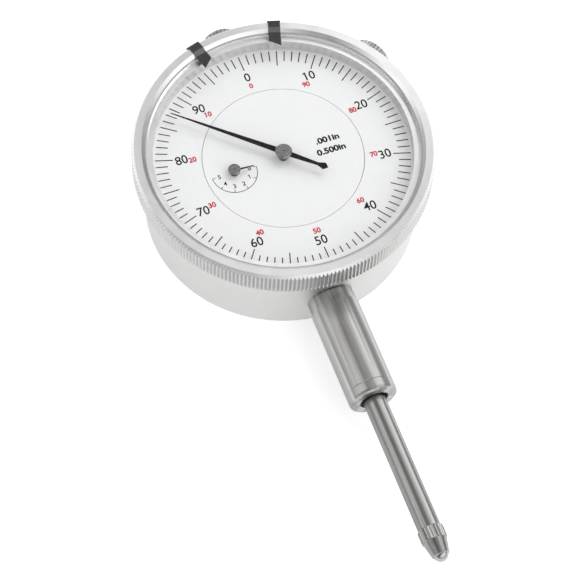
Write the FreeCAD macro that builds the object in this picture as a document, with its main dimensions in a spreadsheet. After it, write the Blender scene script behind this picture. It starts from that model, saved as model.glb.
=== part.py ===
import FreeCAD, Part
import math
import os
import re

import Sketcher
from FreeCAD import Placement, Rotation, Vector

# Dial indicator with 0.001 in graduations, 0.500 in of travel and a plain 3/8 in stem.
#
# It lies on its flat back.  The origin is the centre of the back face, +Z points out of the
# dial, +Y points to twelve o'clock and the dust cap, and the stem and spindle point along -Y.
# Lengths are in millimetres and angles in degrees.

# Driving dimensions: alias, value, meaning.
SIZES = [
    # case
    ("case_radius", 27.13, "outside radius of the case"),
    ("cover_thickness", 1.1, "back cover plate"),
    ("stem_floor", 0.4675, "wall left under the stem hole"),
    ("lower_wall", 4.53, "thick lower wall of the case"),
    ("upper_wall", 1.83, "case wall above the ledge"),
    ("neck_wall", 0.93, "thin neck that the bezel turns on"),
    ("neck_rise", 2.2, "top of the neck above the dial face"),
    ("ledge_gap", 0.07, "ledge above the upper bushing"),
    # bezel
    ("running_gap", 0.07, "radial clearance between bezel and neck"),
    ("axial_gap", 0.2, "axial clearance of the bezel on the neck"),
    ("bezel_wall", 2.07, "bezel skirt over its knurl"),
    ("bezel_drop", 1.1, "underside of the bezel below the dial face"),
    ("bezel_lead", 0.35, "height of the lead-in at the foot of the knurl"),
    ("bezel_bevel", 0.53, "width of the outer top chamfer"),
    ("bezel_bevel_drop", 0.7, "height of the outer top chamfer"),
    ("bezel_ring", 1.44, "width of the flat top ring"),
    ("bezel_slope", 0.55, "drop of the inner bevel"),
    ("bezel_teeth", 238, "knurl teeth round the bezel"),
    ("bezel_knurl_depth", 0.34, "depth of the bezel knurl"),
    ("lip_wall", 0.47, "inner lip that holds the dial ring"),
    ("lip_depth", 1.7, "lower edge of the lip below the dial face"),
    ("dial_ledge", 0.45, "width of the ledge above the dial ring"),
    ("wire_radius", 0.4, "retaining wire section radius"),
    ("wire_drop", 1.5, "retaining wire below the top of the neck"),
    ("wire_gap", 0.05, "clearance of the retaining wire in its grooves"),
    ("wire_opening", 24, "opening angle of the retaining wire"),
    # crystal and dials
    ("seat_web", 0.4, "metal between the neck groove and the crystal seat"),
    ("seat_inset", 0.55, "crystal seat inside the skirt bore"),
    ("crystal_thickness", 1.0, "crystal sheet"),
    ("gasket_gap", 0.03, "clearance between crystal and gasket"),
    ("crystal_film", 0.03, "cement film under the crystal"),
    ("crystal_inset", 0.6, "crystal face below the bezel face"),
    ("gasket_width", 0.3, "ring between crystal and bezel"),
    ("dial_rise", 1.6, "dial face above the front plate"),
    ("dial_thickness", 0.5, "dial sheet"),
    ("dial_fit", 0.03, "clearance of the dial ring in its seat"),
    ("inner_dial_radius", 15.7, "edge of the fixed inner dial"),
    ("dial_gap", 0.1, "radial gap between the two dials"),
    ("dial_foot_circle", 12.0, "circle of the dial feet"),
    ("dial_foot_radius", 0.6, "pegs of the dial feet"),
    # stem and spindle
    ("stem_radius", 4.7625, "3/8 in stem"),
    ("stem_length", 22.87, "stem outside the case"),
    ("stem_bore", 3.4, "bore of the stem tube"),
    ("stem_relief", 0.2, "root of the stem under its clamping radius"),
    ("stem_relief_length", 0.35, "that root past the edge of the bezel"),
    ("stem_cap", 2.4, "length of the bushing head at the end of the stem"),
    ("stem_mouth", 2.8, "radius of the mouth in the end of the stem"),
    ("stem_mouth_depth", 1.6, "depth of that mouth"),
    ("guide_length", 11.6, "length of the lower guide inside the stem"),
    ("spindle_radius", 2.2, "spindle"),
    ("spindle_gap", 0.02, "radial running clearance of the spindle"),
    ("spindle_grip", 3.6, "spindle inside the upper bushing at rest"),
    ("spindle_free", 27.5, "spindle outside the stem at rest"),
    ("spindle_travel", 13.2, "full travel"),
    ("contact_radius", 2.48, "knurled collar of the contact point"),
    ("contact_collar", 2.5, "length of that collar"),
    ("contact_cone", 3.05, "length of the cone below the collar"),
    ("contact_cone_top", 2.28, "upper radius of the cone"),
    ("contact_cone_end", 1.7, "lower radius of the cone"),
    ("ball_radius", 1.5, "hardened ball"),
    ("ball_proud", 1.05, "how far the ball stands out of the cone"),
    ("contact_stud", 1.05, "threaded stud of the contact point"),
    ("contact_stud_length", 5.0, "length of that stud"),
    ("bushing_wall", 0.58, "wall of the upper guide bushing"),
    ("bushing_proud", 3.27, "upper bushing outside the case"),
    ("cap_wall", 0.75, "dust cap wall over its knurl"),
    ("cap_gap", 0.37, "dust cap above the case wall"),
    ("cap_relief", 0.3, "clearance round the spindle in the dust cap"),
    ("cap_headroom", 0.5, "space above the spindle at full travel"),
    ("cap_floor", 1.0, "end wall of the dust cap"),
    ("cap_teeth", 26, "knurl teeth round the dust cap"),
    ("knob_knurl_depth", 0.26, "depth of the knurl on the dust cap and the clamp screw"),
    # bezel clamp
    ("clamp_angle", 52.9, "clamp screw, clockwise from twelve o'clock"),
    ("clamp_head_gap", 0.52, "clamp head below the underside of the bezel"),
    ("clamp_radius", 3.98, "clamp screw head over its knurl"),
    ("clamp_shoulder", 2.2, "radius of the shoulder under the clamp head"),
    ("clamp_shoulder_length", 1.0, "length of that shoulder"),
    ("clamp_head_length", 5.75, "length of the clamp head"),
    ("clamp_face_gap", 0.07, "shoulder above the case wall"),
    ("clamp_teeth", 30, "knurl teeth round the clamp head"),
    ("clamp_shank", 1.0, "threaded shank of the clamp screw"),
    ("clamp_shank_gap", 0.04, "clearance round the shank"),
    ("shoe_depth", 2.1, "clamp shoe from its inner to its outer face"),
    ("shoe_width", 5.0, "clamp shoe"),
    ("shoe_gap", 0.25, "open gap between the clamp shoe and the bezel lip"),
    ("shoe_wall_gap", 0.3, "open gap between the clamp shoe and the case wall"),
    ("shoe_floor_gap", 0.2, "clearance under and over the clamp shoe"),
    # movement
    ("plate_thickness", 1.2, "rear movement plate"),
    ("plate_spacing", 3.8, "space between the movement plates"),
    ("front_plate_thickness", 1.0, "front movement plate"),
    ("rear_plate_inset", 0.6, "rear plate inside the upper bore"),
    ("front_plate_inset", 3.3, "front plate inside the upper bore"),
    ("pillar_inset", 2.0, "pillars inside the edge of the front plate"),
    ("pillar_radius", 1.6, "plate pillars"),
    ("arbor_radius", 0.7, "movement arbors"),
    ("pivot_radius", 0.35, "pivots at the ends of the arbors"),
    ("post_radius", 0.45, "thin posts that carry the hands"),
    ("centre_hole", 0.22, "centre drilled in the top of each arbor"),
    ("pivot_gap", 0.03, "radial running clearance of the pivots"),
    ("shoulder_gap", 0.08, "end play between an arbor shoulder and its bush"),
    ("bush_radius", 1.2, "pivot bushes, outside"),
    ("tooth_module", 0.2, "module of the movement gears"),
    ("large_teeth", 60, "teeth of the rack gear and of the take-up gear"),
    ("pinion_teeth", 12, "teeth of the centre pinion"),
    ("rack_teeth", 16, "teeth of the rack pinion"),
    ("rack_pitch", 0.79375, "rack pitch, 1/32 in"),
    ("rack_inset", 0.65, "pitch line of the rack inside the spindle surface"),
    ("rack_pinion_length", 1.9, "face width of the rack pinion"),
    ("counter_driver_teeth", 20, "teeth of the counter drive gear"),
    ("counter_teeth", 40, "teeth of the revolution counter gear"),
    ("tooth_thinning", 0.03, "taken off each tooth flank for backlash"),
    ("gear_thickness", 0.6, "face width of the movement gears"),
    ("rack_gear_rise", 0.5, "rack gear above the rear plate"),
    ("takeup_gear_rise", 2.0, "take-up gear above the rear plate"),
    ("counter_gear_rise", 2.3, "both counter gears above the rear plate"),
    ("pinion_overlap", 0.2, "centre pinion past the gears it meshes with"),
    ("hairspring_collet_wall", 0.4, "collet round the take-up arbor"),
    ("hairspring_strip", 0.14, "thickness of the hairspring strip"),
    ("hairspring_width", 0.6, "width of the hairspring strip"),
    ("hairspring_outer", 4.6, "outer coil of the hairspring"),
    ("hairspring_coils", 3.25, "coils of the hairspring"),
    ("hairspring_gap", 0.02, "hairspring off its collet"),
    ("stud_radius", 0.5, "stud of the hairspring"),
    ("bridge_thickness", 1.1, "bridge under the rack arbor"),
    ("bridge_drop", 1.6, "bridge below the spindle"),
    # hands
    ("counter_left", 10.15, "revolution counter centre, left of the dial centre"),
    ("counter_down", 0.25, "revolution counter centre, below the dial centre"),
    ("hub_radius", 1.65, "cap of the main hand hub"),
    ("hub_collar", 1.15, "collar of the main hand hub"),
    ("hub_rise", 2.25, "top of the main hand hub above the dial face"),
    ("hand_rise", 1.7, "main hand above the dial face"),
    ("hand_thickness", 0.15, "hand sheet"),
    ("hand_margin", 2.1, "main hand tip inside the edge of the dial ring"),
    ("hand_half_width", 0.6, "main hand at its centre"),
    ("tail_length", 9.18, "main hand from its centre to the end of its tail"),
    ("tail_neck", 7.1, "main hand from its centre to the neck of its tail"),
    ("tail_shoulder", 8.42, "main hand from its centre to the widest part of its tail"),
    ("hand_angle", 48.5, "main hand at rest, anticlockwise from twelve o'clock"),
    ("counter_hub_radius", 1.2, "cap of the counter hand hub"),
    ("counter_hub_collar", 0.75, "collar of the counter hand hub"),
    ("counter_hub_rise", 1.4, "top of the counter hand hub above the dial face"),
    ("counter_hand_rise", 0.8, "counter hand above the dial face"),
    ("counter_hand_length", 3.85, "counter hand"),
    ("counter_hand_angle", -3.0, "counter hand at rest, anticlockwise from three o'clock"),
    # anti-rotation guide and return spring
    ("pin_radius", 0.45, "cross pin in the spindle"),
    ("pin_station", 2.0, "cross pin at rest, above the dial centre"),
    ("pin_root", 0.5, "inner end of the cross pin, to the left of the spindle axis"),
    ("pin_gap", 0.03, "clearance of the cross pin in the guide slot"),
    ("pin_stop_gap", 0.04, "clearance of the cross pin from the ends of the slot"),
    ("guide_offset", 0.8, "slotted guide off the spindle"),
    ("guide_thickness", 1.0, "slotted guide web and flange"),
    ("guide_flange", 4.0, "width of the guide flange"),
    ("guide_end", 1.6, "guide past each end of its slot"),
    ("guide_depth", 3.9, "guide web below the spindle axis"),
    ("spring_offset", 6.5, "return spring axis, to the right of the spindle"),
    ("spring_post_inset", 1.6, "spring post inside the lower bore"),
    ("spring_post_radius", 0.55, "neck of the spring post"),
    ("spring_radius", 1.25, "mean radius of the return spring coils"),
    ("spring_wire", 0.2, "section radius of the return spring wire"),
    ("spring_pitch", 1.2, "pitch of the return spring at rest"),
    ("spring_ring_gap", 0.12, "play of the spring rings on the pin and the post"),
    # limit markers
    ("marker_left_angle", 17.6, "left marker, anticlockwise from twelve o'clock"),
    ("marker_right_angle", 16.3, "right marker, clockwise from twelve o'clock"),
    ("marker_width", 2.35, "limit marker strip"),
    ("marker_leg_width", 2.6, "leg of a limit marker outside the bezel"),
    ("marker_sheet", 0.23, "limit marker sheet thickness"),
    ("marker_gap", 0.07, "clearance of the limit markers over the bezel"),
    ("marker_inset", 3.85, "long corner of the marker tip inside the flat top ring"),
    ("marker_slant", 1.2, "how much shorter the other corner is"),
    ("marker_ramp", 0.95, "radial length of the step down from the ring to the crystal"),
    ("marker_flare", 0.4, "outward kick at the foot of a limit marker"),
    ("marker_leg_side", 0.1, "leg plan past each side of the leg"),
    # screws
    ("cover_screw", 0.9, "back cover screws, thread radius"),
    ("plate_screw", 0.55, "rear plate and guide screws, thread radius"),
    ("front_screw", 0.6, "front plate and bridge screws, thread radius"),
    ("screw_gap", 0.03, "clearance of a screw in its hole"),
    ("screw_head", 0.55, "height of the screw heads"),
]

# Sizes that follow from the driving ones, as formulas of their aliases.
DERIVED = {
    # heights above the back face
    "spindle_height": "cover_thickness + stem_floor + stem_radius",
    "bushing_radius": "spindle_radius + spindle_gap + bushing_wall",
    "ledge_height": "spindle_height + bushing_radius + ledge_gap",
    "plate_top": "ledge_height + plate_thickness",
    "front_plate_base": "plate_top + plate_spacing",
    "front_plate_top": "front_plate_base + front_plate_thickness",
    "dial_top": "front_plate_top + dial_rise",
    "dial_base": "dial_top - dial_thickness",
    "lip_bottom": "dial_top - lip_depth",
    "neck_floor": "lip_bottom - axial_gap",
    "neck_top": "dial_top + neck_rise",
    "groove_top": "neck_top + axial_gap",
    "wire_height": "neck_top - wire_drop",
    "bezel_base": "dial_top - bezel_drop",
    "crystal_base": "groove_top + seat_web",
    "crystal_top": "crystal_base + crystal_thickness",
    "bezel_top": "crystal_top + crystal_inset",
    "clamp_height": "bezel_base - clamp_head_gap - clamp_radius",
    "rack_gear_base": "plate_top + rack_gear_rise",
    "takeup_gear_base": "plate_top + takeup_gear_rise",
    "counter_gear_base": "plate_top + counter_gear_rise",
    "hand_height": "dial_top + hand_rise",
    "hub_top": "dial_top + hub_rise",
    "counter_hand_height": "dial_top + counter_hand_rise",
    "counter_hub_top": "dial_top + counter_hub_rise",
    "bridge_base": "spindle_height - spindle_radius - bridge_drop",
    "bridge_top": "bridge_base + bridge_thickness",
    "guide_bottom": "spindle_height - guide_depth",
    # radii about the dial axis
    "lower_bore": "case_radius - lower_wall",
    "upper_bore": "case_radius - upper_wall",
    "neck_bore": "case_radius - neck_wall",
    "skirt_bore": "case_radius + running_gap",
    "wire_groove": "wire_radius + wire_gap",
    "lip_radius": "neck_bore - running_gap - 0.03",
    "dial_seat": "lip_radius - lip_wall",
    "dial_ring_radius": "dial_seat - dial_fit",
    "bezel_bore": "dial_seat - dial_ledge",
    "seat_radius": "skirt_bore - seat_inset",
    "crystal_radius": "seat_radius - gasket_width",
    "bezel_radius": "skirt_bore + bezel_wall",
    "bezel_opening": "bezel_radius - bezel_bevel - bezel_ring",
    "rear_plate_radius": "upper_bore - rear_plate_inset",
    "front_plate_radius": "upper_bore - front_plate_inset",
    "pillar_circle": "front_plate_radius - pillar_inset",
    "plate_screw_circle": "(lower_bore + upper_bore) / 2 - 0.25",
    "cover_screw_circle": "(lower_bore + case_radius) / 2",
    "shoe_outer": "upper_bore - shoe_wall_gap",
    "shoe_inner": "shoe_outer - shoe_depth",
    "clamp_start": "case_radius + clamp_face_gap + clamp_shoulder_length",
    "clamp_end": "clamp_start + clamp_head_length",
    "hand_length": "dial_ring_radius - hand_margin",
    "marker_tip": "bezel_opening - marker_inset",
    # distances from the dial axis along the spindle
    "stem_start": "upper_bore - 0.4",
    "stem_end": "case_radius + stem_length",
    "stem_seam": "stem_end - stem_cap",
    "bushing_start": "lower_bore - spindle_grip",
    "bushing_end": "case_radius + bushing_proud",
    "spindle_top": "lower_bore",
    "contact_shoulder": "stem_end + spindle_free",
    "spindle_length": "spindle_top + contact_shoulder",
    "cone_start": "contact_shoulder + contact_collar",
    "cone_end": "cone_start + contact_cone",
    "cap_start": "case_radius + cap_gap",
    "cap_end": "spindle_top + spindle_travel + cap_headroom + cap_floor",
    "cap_bore": "spindle_radius + cap_relief",
    "cap_radius": "bushing_radius + cap_wall",
    # inside the lower space
    "guide_left": "spindle_radius + guide_offset",
    "pin_reach": "spring_offset + 1.5",
    "slot_start": "pin_station - pin_radius - pin_stop_gap",
    "slot_length": "spindle_travel + 2 * pin_radius + 3 * pin_stop_gap",
    "guide_start": "slot_start - guide_end",
    "guide_extent": "slot_length + 2 * guide_end",
    "stem_root": "stem_radius - stem_relief",
    "stem_shoulder": "bezel_radius + stem_relief_length",
    "rack_line": "spindle_radius - rack_inset",
    # limit markers, in the upright plane through the dial axis
    "marker_over": "bezel_top + marker_gap / 2",
    "marker_under": "crystal_top + marker_gap * 2",
    "marker_leg": "bezel_radius + marker_gap",
    "marker_leg_out": "marker_leg + marker_sheet",
    "marker_knee": "bezel_top - bezel_bevel_drop + 0.1",
    "marker_edge": "bezel_radius - bezel_bevel + 0.2",
    "marker_fold": "bezel_opening + 0.05",
    "marker_foot": "bezel_base + 1.4",
}

DOWN_THE_STEM = Rotation(Vector(0, 0, 1), Vector(0, -1, 0))
UP_THE_CAP = Rotation(Vector(0, 0, 1), Vector(0, 1, 0))
TO_THE_RIGHT = Rotation(Vector(0, 0, 1), Vector(1, 0, 0))
UPRIGHT = Rotation()

# Tooth proportions, in modules.
PRESSURE_ANGLE = math.radians(20)
STUB_ADDENDUM = 0.7
RACK_ADDENDUM = 0.85
ROOT_DEPTH = 1.25

doc = FreeCAD.newDocument("dial_indicator")
sheet = doc.addObject("Spreadsheet::Sheet", "dims")
for row, (alias, size, meaning) in enumerate(SIZES, start=1):
    sheet.set(f"A{row}", alias)
    sheet.set(f"B{row}", str(size))
    sheet.set(f"C{row}", meaning)
    sheet.setAlias(f"B{row}", alias)
doc.recompute()
ALIASES = {alias for alias, size, meaning in SIZES}
nodes = []


# ---------------------------------------------------------------- helpers

def formula(text):
    """The expression that binds a property to the sheet: derived names are written out."""
    def written(match):
        word = match.group(0)
        if word in DERIVED:
            return "(" + formula(DERIVED[word]) + ")"
        return "dims." + word if word in ALIASES else word
    return re.sub(r"[a-z][a-z_]*", written, str(text))


def size_of(text):
    """The present value of a formula, in millimetres or degrees."""
    return float(sheet.evalExpression(formula(text)))


def put(piece, at, turn=UPRIGHT):
    """Places a piece, with every coordinate that isn't zero bound to its formula."""
    piece.Placement = Placement(Vector(*[size_of(part) for part in at]), turn)
    for axis, part in zip("xyz", at):
        if str(part) != "0":
            piece.setExpression("Placement.Base." + axis, formula(part))
    return piece


def keep(piece, node):
    """Names a finished sub-part; its label is the name of its file."""
    piece.Label = node
    nodes.append(piece)
    return piece


def outlined_sketch(body, outline, plane_role):
    """A closed sketch of straight lines whose corners are held by formulas."""
    plane = [item for item in body.Origin.OriginFeatures if item.Role == plane_role][0]
    sketch = body.newObject("Sketcher::SketchObject", body.Name + "_outline")
    sketch.AttachmentSupport = [(plane, "")]
    sketch.MapMode = "FlatFace"
    corners = [Vector(size_of(across), size_of(up), 0) for across, up in outline]
    count = len(corners)
    for number, corner in enumerate(corners):
        sketch.addGeometry(Part.LineSegment(corner, corners[(number + 1) % count]), False)
    for number in range(count):
        sketch.addConstraint(Sketcher.Constraint("Coincident", number, 2, (number + 1) % count, 1))
    for number, (across, up) in enumerate(outline):
        for kind, text, here, axis in (("DistanceX", across, corners[number].x, -2),
                                       ("DistanceY", up, corners[number].y, -1)):
            if str(text) == "0":
                sketch.addConstraint(Sketcher.Constraint("PointOnObject", number, 1, axis))
            else:
                rule = sketch.addConstraint(Sketcher.Constraint(kind, -1, 1, number, 1, here))
                sketch.setExpression(f"Constraints[{rule}]", formula(text))
    return sketch


def turned(name, outline, at=("0", "0", "0"), turn=UPRIGHT):
    """A lathe-turned piece: an outline of (radius, height) corners revolved about its axis."""
    body = doc.addObject("PartDesign::Body", name)
    sketch = outlined_sketch(body, outline, "XZ_Plane")
    revolution = body.newObject("PartDesign::Revolution", name + "_turning")
    revolution.Profile = sketch
    revolution.ReferenceAxis = (sketch, ["V_Axis"])
    revolution.Angle = 360
    return put(body, at, turn)


def padded(name, outline, thickness, at=("0", "0", "0"), turn=UPRIGHT, both_ways=False):
    """A flat piece: an outline of (x, y) corners raised by its thickness."""
    body = doc.addObject("PartDesign::Body", name)
    sketch = outlined_sketch(body, outline, "XY_Plane")
    pad = body.newObject("PartDesign::Pad", name + "_pad")
    pad.Profile = sketch
    pad.setExpression("Length", formula(thickness))
    pad.Midplane = both_ways
    return put(body, at, turn)


def cylinder(radius, height, at=("0", "0", "0"), turn=UPRIGHT):
    """A Part cylinder from its base centre."""
    piece = doc.addObject("Part::Cylinder", "round")
    piece.setExpression("Radius", formula(radius))
    piece.setExpression("Height", formula(height))
    return put(piece, at, turn)


def block(length, width, height, at):
    """A Part box from its lowest corner."""
    piece = doc.addObject("Part::Box", "block")
    piece.setExpression("Length", formula(length))
    piece.setExpression("Width", formula(width))
    piece.setExpression("Height", formula(height))
    return put(piece, at)


def ball(radius, at):
    """A Part sphere about its centre."""
    piece = doc.addObject("Part::Sphere", "ball")
    piece.setExpression("Radius", formula(radius))
    return put(piece, at)


def group(name, pieces):
    """Several separate solids as one object."""
    made = doc.addObject("Part::Compound", name)
    made.Links = pieces
    return made


def fused(name, pieces):
    """Several overlapping solids as one."""
    made = doc.addObject("Part::MultiFuse", name)
    made.Shapes = pieces
    made.Refine = True
    return made


def cut(name, base, tools):
    """The base without any of the tools."""
    made = doc.addObject("Part::Cut", name)
    made.Base = base
    made.Tool = tools[0] if len(tools) == 1 else group(name + "_tools", tools)
    return made


def common(name, base, tool):
    """What the base and the tool share."""
    made = doc.addObject("Part::Common", name)
    made.Base = base
    made.Tool = tool
    return made


def shaped(name, shape, at=None, turn=UPRIGHT):
    """A piece whose shape this file works out from the sheet, where it stands or put at a place."""
    piece = doc.addObject("Part::Feature", name)
    piece.Shape = shape
    return put(piece, at, turn) if at else piece


def prism(points, height):
    """A solid raised from a closed polygon in the XY plane."""
    wire = Part.makePolygon(points + [points[0]])
    return Part.Face(wire).extrude(Vector(0, 0, height))


def polar(radius, angle):
    """A point in the XY plane, the angle anticlockwise from +X in degrees."""
    return Vector(radius * math.cos(math.radians(angle)), radius * math.sin(math.radians(angle)), 0)


def on_circle(radius, angle, height):
    """Formulas of a place on a circle about the dial axis."""
    return (f"{radius} * cos({angle})", f"{radius} * sin({angle})", height)


def knurl(radius, depth, teeth, length):
    """A star-shaped prism: what it shares with a turned piece is that piece, knurled."""
    outer = size_of(radius)
    count = round(size_of(teeth))
    points = []
    for tooth in range(count):
        points.append(polar(outer * 1.0004, 360 * (tooth + 0.12) / count))
        points.append(polar(outer * 1.0004, 360 * (tooth - 0.12 + 0.5) / count))
        points.append(polar(outer - size_of(depth), 360 * (tooth + 0.75) / count))
    return prism(points, size_of(length))


# ---------------------------------------------------------------- gear teeth

def involute_point(base_radius, radius):
    """The angle, in radians, that an involute has swept when it reaches a radius."""
    if radius <= base_radius:
        return 0.0
    roll = math.sqrt((radius / base_radius) ** 2 - 1)
    return roll - math.atan(roll)


def gear_outline(teeth, module, first_tooth, addendum, dedendum):
    """Corners of an involute gear; first_tooth is the angle of a tooth's middle, in degrees."""
    pitch_radius = teeth * module / 2
    base_radius = pitch_radius * math.cos(PRESSURE_ANGLE)
    root = pitch_radius - dedendum * module
    tip = pitch_radius + addendum * module
    half_tooth = (math.pi * module / 4 - size_of("tooth_thinning")) / pitch_radius
    half_at_base = half_tooth + involute_point(base_radius, pitch_radius)
    radii = [root, max(root, base_radius) + 0.01, pitch_radius, tip]
    points = []
    for tooth in range(teeth):
        middle = math.radians(first_tooth) + 2 * math.pi * tooth / teeth
        flank = [(radius, half_at_base - involute_point(base_radius, radius)) for radius in radii]
        for radius, half in flank:
            points.append(polar(radius, math.degrees(middle - half)))
        for radius, half in reversed(flank):
            points.append(polar(radius, math.degrees(middle + half)))
    return points


def gear(node, teeth, module, first_tooth, centre, base, thickness, addendum=STUB_ADDENDUM):
    """A spur gear on its arbor, its centre in the XY plane."""
    outline = gear_outline(teeth, module, first_tooth, addendum, ROOT_DEPTH)
    bore = Part.makeCylinder(size_of("arbor_radius"), thickness)
    solid = prism(outline, thickness).cut(bore)
    solid.translate(Vector(centre.x, centre.y, base))
    return keep(shaped(node + "_cut", solid), node)


def meshing_tooth(driver_tooth, driver_teeth, driven_teeth, direction):
    """The angle of a driven tooth that falls in a gap of the driver.

    direction is the angle from the driver's centre to the driven gear's centre.
    """
    lead = driver_tooth - direction
    return direction + 180 - lead * driver_teeth / driven_teeth + 180 / driven_teeth


# ---------------------------------------------------------------- places in the movement

rack_module = size_of("rack_pitch") / math.pi
rack_pinion_radius = size_of("rack_teeth") * rack_module / 2
mesh_distance = size_of("(large_teeth + pinion_teeth) * tooth_module / 2")
rack_centre = Vector(-size_of("rack_line") - rack_pinion_radius, 0, 0)
rack_centre.y = math.sqrt(mesh_distance ** 2 - rack_centre.x ** 2)
takeup_centre = -rack_centre
counter_centre = Vector(-size_of("counter_left"), -size_of("counter_down"), 0)
counter_distance = (counter_centre - rack_centre).Length
counter_module = 2 * counter_distance / size_of("counter_driver_teeth + counter_teeth")
stud_reach = size_of("hairspring_outer + hairspring_strip / 2 + stud_radius")
stud_centre = takeup_centre * (1 + stud_reach / mesh_distance)
spring_post_station = -math.sqrt(size_of("lower_bore - spring_post_inset") ** 2
                                 - size_of("spring_offset") ** 2)


def place_of(point):
    """The X and Y formulas of a point that this file has worked out."""
    return (f"{point.x:.4f}", f"{point.y:.4f}")


ARBORS = {"rack": place_of(rack_centre), "centre": ("0", "0"),
          "counter": ("-counter_left", "-counter_down"), "takeup": place_of(takeup_centre)}
AXIS = ("0", "0", "spindle_height")
BRIDGE_LEFT = 8.0
BRIDGE_SCREW = place_of(rack_centre - Vector(6.1, 0, 0))
GUIDE_SCREWS = [("guide_left + 2.9", "guide_start + 1.4"),
                ("guide_left + 2.9", "guide_start + guide_extent - 1.4")]
SPRING_POST = ("spring_offset", f"{spring_post_station:.4f}")
HAIRSPRING_STUD = place_of(stud_centre)
COVER_SCREW_ANGLES = (20, 160, 200, 340)
PLATE_SCREW_ANGLES = (75, 195, 315)
PILLAR_ANGLES = (30, 150, 270)
FOOT_ANGLES = (90, 210, 330)


def direction_between(start, end):
    """The angle from one centre to another, anticlockwise from +X in degrees."""
    return math.degrees(math.atan2(end.y - start.y, end.x - start.x))


def towards_clamp():
    """Turns a piece's own axis to the direction of the clamp screw."""
    angle = math.radians(size_of("clamp_angle"))
    return Rotation(Vector(0, 0, 1), Vector(math.sin(angle), math.cos(angle), 0))


# ---------------------------------------------------------------- case, cover and stem

def screw(name, head_radius, shank, length, at, countersunk=False, down=True):
    """A slotted screw along Z; at is the outer face of its head and down is where it points."""
    head = [("0", "0"), (head_radius, "0")]
    if not countersunk:
        head.append((head_radius, "screw_head"))
    body = turned(name, head + [(shank, "screw_head"), (shank, length), ("0", length)], at,
                  Rotation(Vector(1, 0, 0), 180) if down else UPRIGHT)
    slot_base = f"{at[2]} - screw_head / 2" if down else f"{at[2]} - 0.1"
    slot = block(f"({head_radius}) * 2.2", f"({head_radius}) * 0.36", "screw_head / 2 + 0.1",
                 (f"{at[0]} - ({head_radius}) * 1.1", f"{at[1]} - ({head_radius}) * 0.18",
                  slot_base))
    return cut(name + "_slotted", body, [slot])


def make_case():
    """The turned case: thick lower wall, ledge, and the thin neck that the bezel turns on."""
    groove_low = "wire_height - wire_groove"
    groove_high = "wire_height + wire_groove"
    ring = turned("case_ring", [
        ("lower_bore", "cover_thickness"), ("case_radius", "cover_thickness"),
        ("case_radius", groove_low), ("case_radius - wire_groove", groove_low),
        ("case_radius - wire_groove", groove_high), ("case_radius", groove_high),
        ("case_radius", "neck_top"), ("neck_bore", "neck_top"), ("neck_bore", "neck_floor"),
        ("upper_bore", "neck_floor"), ("upper_bore", "ledge_height"),
        ("lower_bore", "ledge_height")])
    through = "case_radius + 5"
    tools = [
        cylinder("stem_root", through, AXIS, DOWN_THE_STEM),
        cylinder("stem_radius + 0.22", "5", ("0", "-(case_radius - 0.34)", "spindle_height"),
                 DOWN_THE_STEM),
        cylinder("bushing_radius", through, AXIS, UP_THE_CAP),
        cylinder("clamp_shank + clamp_shank_gap", through, ("0", "0", "clamp_height"),
                 towards_clamp())]
    for angle in COVER_SCREW_ANGLES:
        tools.append(cylinder("cover_screw + screw_gap", "5",
                              on_circle("cover_screw_circle", angle, "cover_thickness - 0.1")))
    for angle in PLATE_SCREW_ANGLES:
        tools.append(cylinder("plate_screw + screw_gap", "2.2",
                              on_circle("plate_screw_circle", angle, "ledge_height - 2.1")))
    keep(cut("case_cut", ring, tools), "case")


def make_back_cover():
    """The back cover plate with its locating spigot and countersunk screw holes."""
    spigot_top = "cover_thickness + 0.5"
    plate = turned("cover_plate", [
        ("0", "0"), ("case_radius - 0.35", "0"), ("case_radius", "0.35"),
        ("case_radius", "cover_thickness"), ("lower_bore - 0.1", "cover_thickness"),
        ("lower_bore - 0.1", spigot_top), ("lower_bore - 1.2", spigot_top),
        ("lower_bore - 1.2", "cover_thickness"), ("0", "cover_thickness")])
    hole = "cover_screw + screw_gap"
    holes = [turned("countersink", [
        ("0", "-0.1"), ("cover_screw * 2 + 0.05", "-0.1"), ("cover_screw * 2 + 0.05", "0.02"),
        (hole, "screw_head + 0.1"), (hole, "3"), ("0", "3")],
        on_circle("cover_screw_circle", angle, "0")) for angle in COVER_SCREW_ANGLES]
    keep(cut("cover_cut", plate, holes), "back_cover")
    keep(group("cover_screws", [
        screw("cover_screw_blank", "cover_screw * 2", "cover_screw", "cover_thickness + 4.5",
              on_circle("cover_screw_circle", angle, "0.05"), True, False)
        for angle in COVER_SCREW_ANGLES]), "back_cover_screws")


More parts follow.
